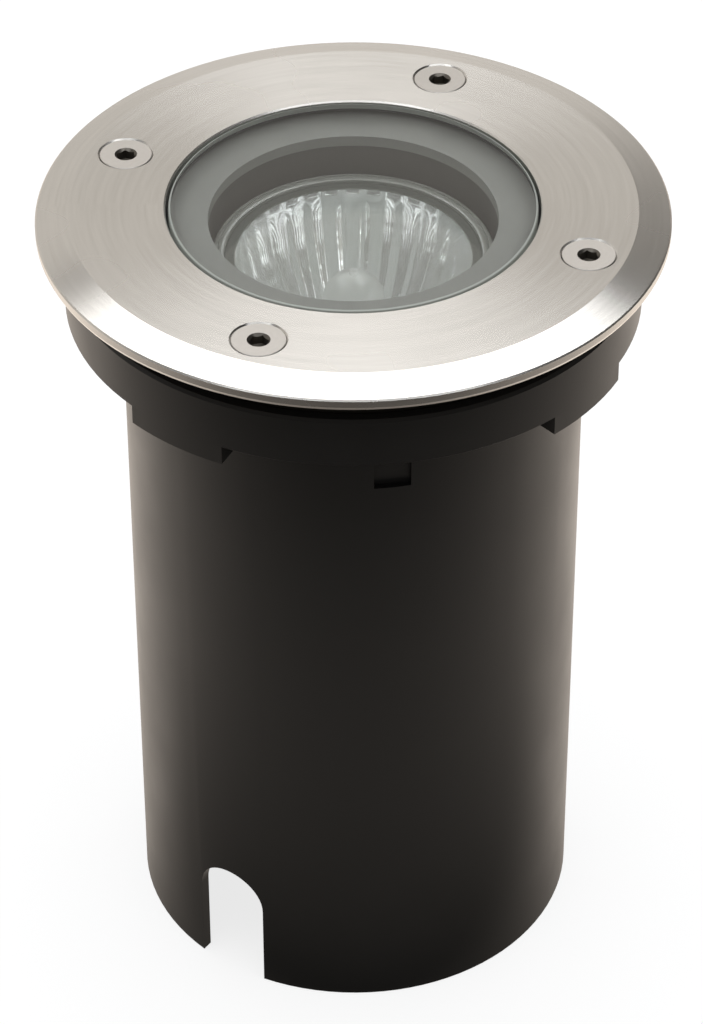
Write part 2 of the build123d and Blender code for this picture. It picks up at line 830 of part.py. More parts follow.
def cable_gland_locknut():
    """Nut on the gland thread inside the pot."""
    nut = hexagon(gland_hex_width, pot_floor, locknut_top, 0, gland_offset)
    return nut - rod(gland_thread_radius + thread_clearance, pot_floor, locknut_top, 0, gland_offset)


def cable_gland_seal():
    """Rubber sleeve in the cage of the gland."""
    outer = gland_cage_radius - gland_cage_wall - thread_clearance
    seal = rod(outer, gland_cage_bottom, gland_hex_bottom, 0, gland_offset)
    return seal - rod(gland_bore_radius, gland_cage_bottom, gland_hex_bottom, 0, gland_offset)


def cable_gland_nut():
    """Dome nut over the cage of the gland."""
    nose_top = gland_nut_bottom + gland_nut_nose_height
    body = hexagon(gland_hex_width, nose_top, gland_nut_top, 0, gland_offset)
    nose = turned([
        (0, gland_nut_bottom),
        (gland_nut_nose_radius, gland_nut_bottom),
        (gland_hex_width / 2, nose_top),
        (0, nose_top),
    ])
    body += Pos(0, gland_offset, 0) * nose
    body -= rod(gland_cage_radius + thread_clearance, gland_cage_bottom, gland_nut_top, 0, gland_offset)
    return body - rod(gland_bore_radius, gland_nut_bottom, gland_nut_top, 0, gland_offset)


def sub_parts():
    """Every node of the light with its solid or its list of solids."""
    nodes = {
        "mounting_sleeve": mounting_sleeve(),
        "lamp_housing": lamp_housing(),
        "glass_gasket": glass_gasket(),
        "bezel_seal": bezel_seal(),
        "front_glass": front_glass(),
        "bezel_ring": bezel_ring(),
        "lamp_reflector": lamp_reflector(),
        "lamp_cover_glass": lamp_cover_glass(),
        "lamp_capsule": lamp_capsule(),
        "lamp_filament": lamp_filament(),
        "lamp_base": lamp_base(),
        "lamp_pins": lamp_pins(),
        "lamp_holder": lamp_holder(),
        "holder_contacts": holder_contacts(),
        "holder_screws": holder_screws(),
        "holder_bracket": holder_bracket(),
        "bracket_screws": bracket_screws(),
        "terminal_block": terminal_block(),
        "terminal_sleeves": terminal_sleeves(),
        "terminal_screws": terminal_screws(),
        "terminal_fixing_screws": terminal_fixing_screws(),
        "live_lead": pole_lead(1),
        "neutral_lead": pole_lead(-1),
        "earth_lead": earth_lead(),
        "earth_terminal": earth_terminal(),
        "earth_screw": earth_screw(),
        "cable_gland_body": cable_gland_body(),
        "cable_gland_washer": cable_gland_washer(),
        "cable_gland_locknut": cable_gland_locknut(),
        "cable_gland_seal": cable_gland_seal(),
        "cable_gland_nut": cable_gland_nut(),
    }
    for number, direction in enumerate(screw_places(), start=1):
        nodes[f"bezel_screw_{number}"] = bezel_screw(direction)
    return nodes


os.makedirs("parts", exist_ok=True)
for name, shape in sub_parts().items():
    solids = shape if isinstance(shape, list) else [shape]
    export_step(Compound(children=solids) if len(solids) > 1 else solids[0], f"parts/{name}.step")
print("height of the bezel above the rim", round(bezel_top, 3))
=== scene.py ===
import math

import bmesh
import bpy
from mathutils import Matrix, Vector


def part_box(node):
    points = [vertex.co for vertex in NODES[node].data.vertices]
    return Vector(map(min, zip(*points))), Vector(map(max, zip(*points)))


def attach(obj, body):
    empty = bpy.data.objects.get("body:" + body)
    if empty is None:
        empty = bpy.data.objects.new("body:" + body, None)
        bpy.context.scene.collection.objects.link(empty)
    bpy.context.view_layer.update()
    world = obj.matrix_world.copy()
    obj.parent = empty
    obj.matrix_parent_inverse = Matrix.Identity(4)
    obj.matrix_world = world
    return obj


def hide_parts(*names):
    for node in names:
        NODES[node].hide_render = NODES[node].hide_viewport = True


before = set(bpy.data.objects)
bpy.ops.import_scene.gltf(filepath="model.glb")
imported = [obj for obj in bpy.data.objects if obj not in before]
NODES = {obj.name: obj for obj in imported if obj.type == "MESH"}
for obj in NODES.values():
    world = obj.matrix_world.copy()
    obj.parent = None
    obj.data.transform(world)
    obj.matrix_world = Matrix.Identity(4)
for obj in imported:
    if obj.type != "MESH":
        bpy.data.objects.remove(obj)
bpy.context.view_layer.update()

MM = 0.001
WELD = 0.000002
SHARP_ANGLE = 35.0

# The camera of the photograph, in metres and degrees
CAMERA_PLACE = Vector((-0.0005, -0.5818, 0.5439))
CAMERA_PITCH = -38.39
CAMERA_ROLL = -0.21
CAMERA_LENS = 142.56
SENSOR_WIDTH = 36.0
NEAR_CLIP = 0.01

# Studio light: a panel overhead, a pale wall behind the object and a darker room in front of it
PANEL_HEIGHT = 1.6
PANEL_SIZE = (1.9, 2.1)
PANEL_CENTRE_Y = 0.2
PANEL_RADIANCE = 2.2
PANEL_COLOUR = (0.98, 0.99, 1.0)
SKY_LIGHT = 0.35
WALL_COLOUR = (0.62, 0.585, 0.54, 1.0)
ROOM_COLOUR = (0.09, 0.088, 0.085, 1.0)
ROOM_EDGE = (-0.25, 0.2)
HORIZON = 0.05
FLAG_PLACE = (0.2, 0.42)
FLAG_SHADE = 0.15
STRIP_COLOUR = (0.06, 0.057, 0.055, 1.0)
STRIP_LOW = (0.9, 0.98)
STRIP_HIGH = (1.06, 1.16)
WINDOW_COLOUR = (3.0, 3.0, 3.08, 1.0)
WINDOW_SHIFT = 0.12
WINDOW_LOW = (0.0, 0.1)
WINDOW_HIGH = (3.0, 3.2)
WINDOW_NEAR = (0.3, 0.36)
WINDOW_FAR = (0.95, 1.05)
FLOOR_SIZE = 6.0
FLOOR_GAP = 0.0002
FLOOR_GLOW = 0.8
FLOOR_COLOUR = 0.25
# Floor glow seen only in reflections is painted light: warm, darker to the front and far off, with painted
# shade near the object's foot
FLOOR_MIRRORED = (1.0, 0.89, 0.785, 1.0)
FLOOR_FRONT = (-0.25, 0.09)
FLOOR_POWER = 1.4
FLOOR_MIRRORED_RANGE = (0.05, 1.45)
FLOOR_CONTACT_SHADE = (0.045, 0.13, 0.08, 1.0)
FLOOR_BESIDE = (-0.045, 0.005)
FLOOR_FAR = (0.16, 0.3, 1.0, 0.6)

# Finishes: noise cells to a metre, depths in metres, and how far a value swings with the noise
NOISE_RANGE = (0.3, 0.7)
TURNED_GRAIN = 1500.0
TURNED_ARC = 3.0
TURNED_PATCHES = 25.0
TURNED_TONES = (0.3, 1.7)
TURNED_SWING = (0.9, 1.1)
TURNED_DIRECTION = 0.25
PLASTIC_GRAIN = 2500.0
PLASTIC_DEPTH = 0.00002
PLASTIC_MARKS = 60.0
PLASTIC_WEAR = (0.45, 0.75)
PLASTIC_SWING = (0.92, 1.08)
PLATED_GRAIN = 1200.0
PLATED_SWING = (0.8, 1.2)
PLATED_SHADE = 0.8
COAT_TINT = 55.0
COAT_TINT_RANGE = (0.35, 0.65)
COAT_WAVES = 420.0
COAT_METALLIC = 0.86
PRESSED_WAVES = 300.0
PRESSED_SHADE = 1.25
PRESSED_SWING = (0.8, 1.3)
SHALLOW = 0.00001
GLASS_SMEAR = 40.0
GLASS_SMEAR_RANGE = (0.5, 0.8)
GLASS_ROUGHNESS = (0.0, 0.015)
GLASS_INDEX = 1.5
FROST_UPRIGHT = 0.9
FROST_SPECKLE = 3000.0
FROST_SHADE = 1.15
FROST_ROUGHNESS = 0.5
MILK_TONE = 0.85

# Front glass, in millimetres
GLASS_TOP_RADIUS = 32.0
GLASS_STEP = 2.8
GLASS_BEVEL = 0.4
GLASS_HOLD = 0.05
GLASS_STEPS = 192

# Pressed glass reflector of the lamp, in millimetres
FLUTE_COUNT = 34
FLUTE_STEPS = 8
FLUTE_DEPTH = 0.26
FACET_ROWS = 7
FACET_STEPS = 4
FACET_BULGE = 0.1
COVER_SEAT = 1.6
MOUTH_EDGE = 0.15
BOWL_STEPS = 20
BOWL_BOW = 0.1
BOWL_WALL = 2.4
RIM_HEIGHT = 3.4
NECK_WALL = 2.6
NECK_LENGTH = 7.5
RIM_RINGS = (
    (0.0, -0.75), (-0.12, -0.4), (-0.4, -0.12), (-0.75, 0.0), (-0.95, -0.03), (-1.05, -0.25),
    (-1.15, -0.25), (-1.25, -0.03), (-1.5, 0.0), (-1.95, -0.03), (-2.25, -0.2), (-2.35, -0.5),
)

# Lamp capsule and filament, in millimetres; rings are shares of a radius with a rise, or share, in height
CAPSULE_SIDE_GAP = 0.9
CAPSULE_WALL = 0.8
CAPSULE_STEM = 11.0
PINCH_WIDTH = 4.4
PINCH_THICKNESS = 1.5
PINCH_POWER = 4
PINCH_FADE = 1.5
SHOULDER_INSET = 0.6
SHOULDER_TOP = 1.6
HOLLOW_RINGS = ((0.0, 1.0), (0.7, 1.4), (1.0, 2.6))
HOLLOW_TOP_RADIUS = 0.001
TIP_RADIUS = 0.8
TIP_HEIGHT = 0.9
TIP_RINGS = ((1.0, 0.5), (0.7, 0.85), (0.0, 1.0))
DOME_STEPS = 10
COIL_TURNS = 13
COIL_TURN_STEPS = 12
COIL_WIRE = 0.12
COIL_SIDES = 6
POST_WIRE = 0.2
POST_SIDES = 8
POST_FOOT = 1.0
POST_STRAIGHT = 3.0
POST_BEND = 1.0
POST_LEAN = 0.15

# Threads, heads and hexagons, in millimetres; a thread's profile is shares of its pitch and depth
THREAD_STEPS = 48
THREAD_PROFILE = ((0.0, 0.0), (0.25, 0.0), (0.56, 1.0), (0.69, 1.0))
SCREW_COUNT = 4
SCREW_RADIUS = 2.5
SCREW_ROOT = 2.05
SCREW_PITCH = 0.8
SCREW_EDGE = 0.1
SCREW_LIGHT = (0.66, 0.635, 0.605, 1)
SCREW_DARK = (0.58, 0.555, 0.525, 1)
SCREW_ROUGHNESS = 0.4
SCREW_GRAIN = 2500.0
SOCKET_WIDTH = 3.0
SOCKET_DEPTH = 1.9
SOCKET_LEAD = 0.25
SOCKET_POINT = 0.35
GLAND_ROOT = 6.9
GLAND_PITCH = 1.41
GLAND_BORE = 4.5
GLAND_HEX_HEIGHT = 5.0
GLAND_HEX_WALL = 1.9
GLAND_NOSE_WALL = 2.3
HEX_CORNER_CUT = 0.9
NUT_CLEARANCE = 0.1
NUT_NOSE_HEIGHT = 4.5
NUT_NOSE_STEPS = 8
NUT_RIB_COUNT = 36
NUT_RIB_STEPS = 6
NUT_RIB_DEPTH = 0.18


class Graph:
    """The nodes of a material or a world, with short calls that add nodes and link what they are given."""

    def __init__(self, owner, output="OutputMaterial"):
        owner.use_nodes = True
        self.owner = owner
        self.tree = owner.node_tree
        self.tree.nodes.clear()
        self.out = self.node(output)

    def set(self, socket, value):
        if isinstance(value, bpy.types.NodeSocket):
            self.tree.links.new(value, socket)
        else:
            socket.default_value = value

    def node(self, kind, inputs=None, **settings):
        node = self.tree.nodes.new("ShaderNode" + kind)
        for key, value in settings.items():
            setattr(node, key, value)
        for key, value in (inputs or {}).items():
            self.set(node.inputs[key], value)
        return node

    def maths(self, operation, first, second=0.0):
        return self.node("Math", {0: first, 1: second}, operation=operation).outputs[0]

    def between(self, value, low, high, to_low=0.0, to_high=1.0):
        """Map a value from one range to another, with the ends held."""
        inputs = {"Value": value, "From Min": low, "From Max": high, "To Min": to_low, "To Max": to_high}
        return self.node("MapRange", inputs).outputs["Result"]

    def swing(self, noise, value, shares):
        """Let a value swing with a noise between two shares of itself."""
        return self.between(noise, *NOISE_RANGE, value * shares[0], value * shares[1])

    def mix(self, share, first, second):
        node = self.node("Mix", {"Factor": share}, data_type="RGBA")
        self.set(node.inputs[6], first)
        self.set(node.inputs[7], second)
        return node.outputs[2]

    def place(self):
        return self.node("TexCoord").outputs["Object"]

    def noise(self, vector, scale, detail=3.0, rough=0.55):
        inputs = {"Vector": vector, "Scale": scale, "Detail": detail, "Roughness": rough}
        return self.node("TexNoise", inputs).outputs["Fac"]

    def bump(self, height, distance, strength=1.0):
        inputs = {"Height": height, "Distance": distance, "Strength": strength}
        return self.node("Bump", inputs).outputs["Normal"]

    def either(self, *flags):
        """The largest of some flags."""
        largest = flags[0]
        for flag in flags[1:]:
            largest = self.maths("MAXIMUM", largest, flag)
        return largest

    def surface(self, shader):
        self.set(self.out.inputs["Surface"], shader)
        return self.owner

    def principled(self, **inputs):
        """A Principled shader, whose sockets are named with underscores for spaces."""
        named = {key.replace("_", " "): value for key, value in inputs.items()}
        return self.node("BsdfPrincipled", named).outputs["BSDF"]


def new_graph(name):
    return Graph(bpy.data.materials.new(name))


def grey(value):
    return (value, value, value, 1.0)


def shaded(colour, share):
    """A colour made lighter or darker."""
    return [channel * share for channel in colour[:3]] + [1.0]


def turned_metal(name, colour, dark, roughness, anisotropy, centre=(0.0, 0.0), grain=TURNED_GRAIN):
    """Metal with a fine circular grain round a vertical axis."""
    g = new_graph(name)
    place = g.node("SeparateXYZ", {0: g.place()})
    x = g.maths("SUBTRACT", place.outputs[0], centre[0])
    y = g.maths("SUBTRACT", place.outputs[1], centre[1])
    radius = g.maths("SQRT", g.maths("ADD", g.maths("MULTIPLY", x, x), g.maths("MULTIPLY", y, y)))
    turn = g.maths("ARCTAN2", y, x)
    track = g.node("CombineXYZ", {0: g.maths("MULTIPLY", radius, grain),
                                  1: g.maths("MULTIPLY", turn, TURNED_ARC),
                                  2: g.maths("MULTIPLY", place.outputs[2], grain)})
    lines = g.noise(track.outputs[0], 1.0, 1.0)
    patches = g.noise(g.place(), TURNED_PATCHES, 2.0)
    colour_now = g.mix(g.between(g.maths("ADD", lines, patches), *TURNED_TONES), dark, colour)
    rough_now = g.between(patches, 0.0, 1.0, roughness * TURNED_SWING[0], roughness * TURNED_SWING[1])
    tangent = g.node("Tangent", direction_type="RADIAL", axis="Z").outputs[0]
    shader = g.principled(Base_Color=colour_now, Metallic=1.0, Roughness=rough_now, Tangent=tangent,
                          Anisotropic=anisotropy, Anisotropic_Rotation=TURNED_DIRECTION)
    return g.surface(shader)


def plastic(name, colour, worn, roughness, specular, grain=PLASTIC_GRAIN, depth=PLASTIC_DEPTH):
    """Moulded plastic, cast paint, rubber or ceramic with a fine grain and faint marks."""
    g = new_graph(name)
    fine = g.noise(g.place(), grain, 2.0)
    marks = g.noise(g.place(), PLASTIC_MARKS, 4.0)
    rough_now = g.swing(marks, roughness, PLASTIC_SWING)
    colour_now = g.mix(g.between(marks, *PLASTIC_WEAR), colour, worn)
    shader = g.principled(Base_Color=colour_now, Roughness=rough_now, Specular_IOR_Level=specular,
                          Normal=g.bump(fine, depth, 0.4))
    return g.surface(shader)


def metal(name, colour, roughness):
    """Plain plated metal with slight unevenness."""
    g = new_graph(name)
    marks = g.noise(g.place(), PLATED_GRAIN, 3.0)
    shader = g.principled(Base_Color=g.mix(marks, colour, shaded(colour, PLATED_SHADE)), Metallic=1.0,
                          Roughness=g.swing(marks, roughness, PLATED_SWING),
                          Normal=g.bump(marks, SHALLOW, 0.4))
    return g.surface(shader)


def mirror_coat(name, cool, green, roughness):
    """Bright coat behind pressed glass, with a slow change of tint."""
    g = new_graph(name)
    tint = g.noise(g.place(), COAT_TINT, 2.0)
    waves = g.noise(g.place(), COAT_WAVES, 2.0)
    shader = g.principled(Base_Color=g.mix(g.between(tint, *COAT_TINT_RANGE), cool, green),
                          Metallic=COAT_METALLIC, Roughness=g.swing(waves, roughness, PRESSED_SWING),
                          Normal=g.bump(waves, SHALLOW, 0.3))
    return g.surface(shader)


def pressed_glass(name, colour, roughness):
    """Thick pressed glass over a dark ground, drawn opaque with that ground painted into its dark colour as
    shade, so that it shows by its gloss.
    """
    g = new_graph(name)
    waves = g.noise(g.place(), PRESSED_WAVES, 2.0)
    shader = g.principled(Base_Color=g.mix(waves, colour, shaded(colour, PRESSED_SHADE)),
                          Roughness=g.swing(waves, roughness, PRESSED_SWING),
                          Normal=g.bump(waves, SHALLOW, 0.3))
    return g.surface(shader)


def clear_glass(name, tint, passing, frost=None, milk=0.0):
    """Clear glass that lets lamps reach what is behind it, with a share of milk or with frosted sides."""
    g = new_graph(name)
    smear = g.noise(g.place(), GLASS_SMEAR, 3.0)
    rough_now = g.between(smear, *GLASS_SMEAR_RANGE, *GLASS_ROUGHNESS)
    glass = g.principled(Base_Color=tint, Roughness=rough_now, IOR=GLASS_INDEX, Transmission_Weight=1.0)
    if milk:
        cloud = g.node("BsdfTranslucent", {"Color": grey(MILK_TONE)}).outputs[0]
        glass = g.node("MixShader", {0: milk, 1: glass, 2: cloud}).outputs[0]
    clear = g.node("BsdfTransparent", {"Color": passing}).outputs[0]
    lamps = g.node("LightPath").outputs["Is Shadow Ray"]
    mixed = g.node("MixShader", {0: lamps, 1: glass, 2: clear}).outputs[0]
    if frost:
        upright = g.node("SeparateXYZ", {0: g.node("NewGeometry").outputs["True Normal"]}).outputs[2]
        side = g.maths("LESS_THAN", g.maths("ABSOLUTE", upright), FROST_UPRIGHT)
        speckle = g.noise(g.place(), FROST_SPECKLE, 2.0)
        frosted = g.principled(Base_Color=g.mix(speckle, frost, shaded(frost, FROST_SHADE)),
                               Roughness=FROST_ROUGHNESS)
        mixed = g.node("MixShader", {0: side, 1: mixed, 2: frosted}).outputs[0]
    return g.surface(mixed)


# Materials
steel = turned_metal("turned_steel", (0.85, 0.832, 0.805, 1), (0.7, 0.683, 0.655, 1), 0.27, 0.8)
black_plastic = plastic("black_plastic", (0.0165, 0.0158, 0.0148, 1), (0.019, 0.018, 0.017, 1),
                        0.34, 0.46)
cast_black = plastic("cast_black", (0.02, 0.017, 0.013, 1), (0.024, 0.02, 0.0155, 1), 0.5, 0.35,
                     grain=1500.0, depth=0.00004)
silicone = plastic("silicone_grey", (0.155, 0.157, 0.146, 1), (0.175, 0.177, 0.164, 1), 0.6, 0.3)
seal_rubber = plastic("seal_black", (0.02, 0.02, 0.02, 1), (0.03, 0.03, 0.03, 1), 0.6, 0.3)
front_clear = clear_glass("clear_glass", (0.955, 0.968, 0.955, 1), (0.93, 0.945, 0.93, 1),
                          frost=(0.29, 0.305, 0.28, 1))
lamp_glass = clear_glass("lamp_clear", (0.985, 0.99, 0.985, 1), (0.96, 0.97, 0.965, 1))
capsule_glass = clear_glass("capsule_glass", (0.95, 0.96, 0.955, 1), (0.9, 0.92, 0.91, 1), milk=0.36)
coat = mirror_coat("reflector_coat", (0.94, 0.94, 0.955, 1), (0.92, 0.945, 0.93, 1), 0.04)
# The clear rim's dark base colour is painted shade for the dark ground seen through it
rim_glass = pressed_glass("pressed_rim", (0.12, 0.125, 0.115, 1), 0.03)
bowl_back = metal("bowl_back", (0.55, 0.55, 0.57, 1), 0.3)
# Darker finish of the screw sockets: partly oxide in the recess, partly painted shade for its depth
socket_oxide_and_shade = metal("socket_oxide_and_shade", (0.2, 0.185, 0.165, 1), 0.35)
tungsten = metal("tungsten", (0.25, 0.24, 0.23, 1), 0.4)
ceramic = plastic("ceramic_white", (0.72, 0.7, 0.64, 1), (0.78, 0.76, 0.7, 1), 0.55, 0.4,
                  grain=900.0)
nickel = metal("nickel_pins", (0.6, 0.59, 0.56, 1), 0.3)
brass = metal("contact_brass", (0.72, 0.55, 0.27, 1), 0.32)
zinc = metal("zinc_steel", (0.62, 0.63, 0.65, 1), 0.35)
block_plastic = plastic("block_white", (0.72, 0.72, 0.68, 1), (0.78, 0.78, 0.75, 1), 0.45, 0.4)
live_wire = plastic("live_brown", (0.13, 0.05, 0.025, 1), (0.17, 0.07, 0.035, 1), 0.5, 0.4)
neutral_wire = plastic("neutral_blue", (0.03, 0.1, 0.33, 1), (0.05, 0.13, 0.38, 1), 0.5, 0.4)
earth_wire = plastic("earth_green", (0.1, 0.38, 0.07, 1), (0.14, 0.42, 0.1, 1), 0.5, 0.4)
nylon = plastic("gland_plastic", (0.025, 0.025, 0.025, 1), (0.035, 0.035, 0.035, 1), 0.4, 0.4)

FINISHES = {
    "bezel_ring": steel,
    "mounting_sleeve": black_plastic,
    "lamp_housing": cast_black,
    "glass_gasket": silicone,
    "bezel_seal": seal_rubber,
    "front_glass": front_clear,
    "lamp_cover_glass": lamp_glass,
    "lamp_base": ceramic,
    "lamp_holder": ceramic,
    "lamp_pins": nickel,
    "earth_terminal": nickel,
    "holder_contacts": brass,
    "terminal_sleeves": brass,
    "holder_screws": zinc,
    "holder_bracket": zinc,
    "bracket_screws": zinc,
    "terminal_screws": zinc,
    "terminal_fixing_screws": zinc,
    "earth_screw": zinc,
    "terminal_block": block_plastic,
    "live_lead": live_wire,
    "neutral_lead": neutral_wire,
    "earth_lead": earth_wire,
    "cable_gland_washer": seal_rubber,
    "cable_gland_seal": seal_rubber,
    "lamp_reflector": coat,
    "lamp_capsule": capsule_glass,
    "lamp_filament": tungsten,
    "cable_gland_body": nylon,
    "cable_gland_locknut": nylon,
    "cable_gland_nut": nylon,
}


def dress(node, material):
    """Give a node of the frame one material."""
    NODES[node].data.materials.clear()
    NODES[node].data.materials.append(material)


for finished_node, finish_material in FINISHES.items():
    dress(finished_node, finish_material)


# Mesh work, in millimetres
def add_point(mesh, x, y, z):
    return mesh.verts.new((x * MM, y * MM, z * MM))


def add_turned(mesh, radius, angle, height, x, y):
    """Add a point at a radius and an angle about a vertical axis."""
    return add_point(mesh, x + radius * math.cos(angle), y + radius * math.sin(angle), height)


def skin(mesh, rows, finish=0):
    """Fill between rows of points, each row as long as the next."""
    for lower, upper in zip(rows, rows[1:]):
        for index in range(len(lower) - 1):
            face = mesh.faces.new((lower[index], lower[index + 1], upper[index + 1], upper[index]))
            face.material_index = finish


def lathe(mesh, rings, steps, x=0.0, y=0.0, finish=0):
    """Add a surface turned about a vertical axis; a ring is (radius, height) or gives that for an angle.

    Rings that go up the outside, in over the top and down the inside leave the faces pointing out.
    """
    rows = []
    for ring in rings:
        row = []
        for index in range(steps + 1):
            angle = math.tau * index / steps
            radius, height = ring(angle) if callable(ring) else ring
            row.append(add_turned(mesh, radius, angle, height, x, y))
        rows.append(row)
    skin(mesh, rows, finish)


def thread(mesh, crest, root, pitch, bottom, top, x=0.0, y=0.0):
    """Add the outside of a screw thread that starts and ends on its root."""
    turns = math.ceil((top - bottom) / pitch) + 1
    columns = []
    for index in range(THREAD_STEPS + 1):
        angle = math.tau * index / THREAD_STEPS
        column = []
        for turn in range(-1, turns):
            for share, rise in THREAD_PROFILE:
                height = bottom + pitch * (turn + share + index / THREAD_STEPS)
                radius = root + rise * (crest - root) if bottom < height < top else root
                height = min(max(height, bottom), top)
                column.append(add_turned(mesh, radius, angle, height, x, y))
        columns.append(column)
    skin(mesh, list(zip(*columns)))


def wire(mesh, points, radius, sides):
    """Add a round wire along points, with closed ends."""
    places = [Vector(point) for point in points]
    side = Vector((0, 0, 1)).cross(places[1] - places[0])
    if side.length < WELD:
        side = Vector((1, 0, 0))
    rows = []
    for index, place in enumerate(places):
        before, after = places[max(index - 1, 0)], places[min(index + 1, len(places) - 1)]
        along = (after - before).normalized()
        side = (side - along * side.dot(along)).normalized()
        across = along.cross(side)
        row = []
        for step in range(sides + 1):
            angle = math.tau * step / sides
            spot = place + (side * math.cos(angle) + across * math.sin(angle)) * radius
            row.append(add_point(mesh, *spot))
        rows.append(row)
    skin(mesh, rows)
    mesh.faces.new(tuple(reversed(rows[0][:-1])))
    mesh.faces.new(tuple(rows[-1][:-1]))


def hexagon_radius(width, turn=0.0):
    """The radius of a hexagon of this width across flats, for an angle; a corner lies at the turn."""
    def radius(angle):
        share = (angle - turn) % (math.pi / 3)
        return width / 2 / math.cos(share - math.pi / 6)
    return radius


def hexagon_rings(width, bottom, top, turn=0.0):
    """Rings up a hexagon with its corners cut back at both ends."""
    full = hexagon_radius(width, turn)
    limit = width / 2 / math.cos(math.pi / 6) - HEX_CORNER_CUT

    def cut_back(height):
        def ring(angle):
            return min(full(angle), limit), height
        return ring

    def full_width(height, inward):
        def ring(angle):
            return full(angle), height + inward * max(full(angle) - limit, 0.0) / 2
        return ring

    return [cut_back(bottom), full_width(bottom, 1), full_width(top, -1), cut_back(top)]


def finish_piece(name, mesh, materials, body, node):
    """Turn a mesh into a smooth piece that rides on its body and stands for its node."""
    bmesh.ops.remove_doubles(mesh, verts=mesh.verts, dist=WELD)
    data = bpy.data.meshes.new(name)
    mesh.to_mesh(data)
    mesh.free()
    data.shade_smooth()
    data.set_sharp_from_angle(angle=math.radians(SHARP_ANGLE))
    for material in materials:
        data.materials.append(material)
    piece = bpy.data.objects.new(name, data)
    bpy.context.scene.collection.objects.link(piece)
    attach(piece, body)
    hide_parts(node)
    return piece


def limits(node):
    """The lowest and highest corner of a node, in millimetres."""
    low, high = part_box(node)
    return low / MM, high / MM


# Front glass
def make_front_glass():
    low, high = limits("front_glass")
    step = low.z + GLASS_STEP
    bevel = GLASS_BEVEL
    mesh = bmesh.new()
    lathe(mesh, [
        (0.0, low.z),
        (high.x - bevel - GLASS_HOLD, low.z),
        (high.x - bevel, low.z),
        (high.x, low.z + bevel),
        (high.x, step - bevel),
        (high.x - bevel, step),
        (GLASS_TOP_RADIUS, step),
        (GLASS_TOP_RADIUS, high.z - bevel),
        (GLASS_TOP_RADIUS - bevel / 3, high.z - bevel / 3),
        (GLASS_TOP_RADIUS - bevel, high.z),
        (GLASS_TOP_RADIUS - bevel - GLASS_HOLD, high.z),
        (0.0, high.z),
    ], GLASS_STEPS)
    finish_piece("stepped_glass", mesh, [front_clear], "bezel", "front_glass")


# Lamp
def bowl_points(start, end, count):
    """Points on an arc between two (radius, height) points, bowed away from the axis."""
    start, end = Vector(start), Vector(end)
    half = (end - start).length / 2
    along = (end - start).normalized()
    outward = Vector((-along.y, along.x)) if along.y < 0 else Vector((along.y, -along.x))
    bow = 2 * BOWL_BOW * half
    radius = (half * half + bow * bow) / (2 * bow)
    reach = math.asin(half / radius)
    points = []
    for index in range(count + 1):
        angle = reach * (2 * index / count - 1)
        points.append((start + end) / 2 + along * radius * math.sin(angle)
                      + outward * (radius * math.cos(angle) - radius + bow))
    return points


def fluted(point, depth, row_share, mouth):
    """A ring of the bowl, drawn in over each flute and each row of facets."""
    bulge = FACET_BULGE * (1 - (2 * row_share - 1) ** 2)
    scale = point.x / mouth

    def ring(angle):
        share = (angle / math.tau * FLUTE_COUNT) % 1.0
        return point.x - scale * depth * (1 - (2 * share - 1) ** 2) - bulge, point.y
    return ring


def make_reflector():
    low, high = limits("lamp_reflector")
    cover_low, cover_high = limits("lamp_cover_glass")
    capsule_high = limits("lamp_capsule")[1]
    seat = cover_low.z
    radius = high.x
    rim_bottom = high.z - RIM_HEIGHT
    mouth = cover_high.x - COVER_SEAT
    neck_bore = capsule_high.x + CAPSULE_SIDE_GAP
    neck = neck_bore + NECK_WALL
    bowl_bottom = low.z + NECK_LENGTH
    steps = FLUTE_COUNT * FLUTE_STEPS
    mesh = bmesh.new()

    outside = bowl_points((neck, bowl_bottom), (radius - BOWL_WALL / 2, rim_bottom), BOWL_STEPS)
    lathe(mesh, [(neck_bore, low.z), (neck, low.z)] + [tuple(point) for point in outside], steps, finish=2)

    rim = [(radius - BOWL_WALL / 2, rim_bottom), (radius - MOUTH_EDGE, rim_bottom),
           (radius, rim_bottom + MOUTH_EDGE)]
    rim += [(radius + inward, high.z + drop) for inward, drop in RIM_RINGS]
    rim += [(radius + RIM_RINGS[-1][0], seat), (mouth + MOUTH_EDGE, seat), (mouth, seat - MOUTH_EDGE)]
    lathe(mesh, rim, steps, finish=1)

    inside = bowl_points((mouth, seat - MOUTH_EDGE), (neck_bore, bowl_bottom + BOWL_WALL),
                         FACET_ROWS * FACET_STEPS)
    rings = [(mouth, seat - MOUTH_EDGE)]
    for index, point in enumerate(inside):
        grown = min(index / FACET_STEPS, 1.0)
        rings.append(fluted(point, FLUTE_DEPTH * grown, (index / FACET_STEPS) % 1.0, mouth))
    rings += [(neck_bore, bowl_bottom + BOWL_WALL), (neck_bore, low.z)]
    lathe(mesh, rings, steps, finish=0)
    finish_piece("reflector_bowl", mesh, [coat, rim_glass, bowl_back], "lamp",
                 "lamp_reflector")


def dome_rings(radius, height, top_radius):
    """Rings over a dome up to a small radius."""
    last = math.acos(top_radius / radius)
    angles = [last * index / DOME_STEPS for index in range(DOME_STEPS + 1)]
    return [(radius * math.cos(angle), height + radius * math.sin(angle)) for angle in angles]


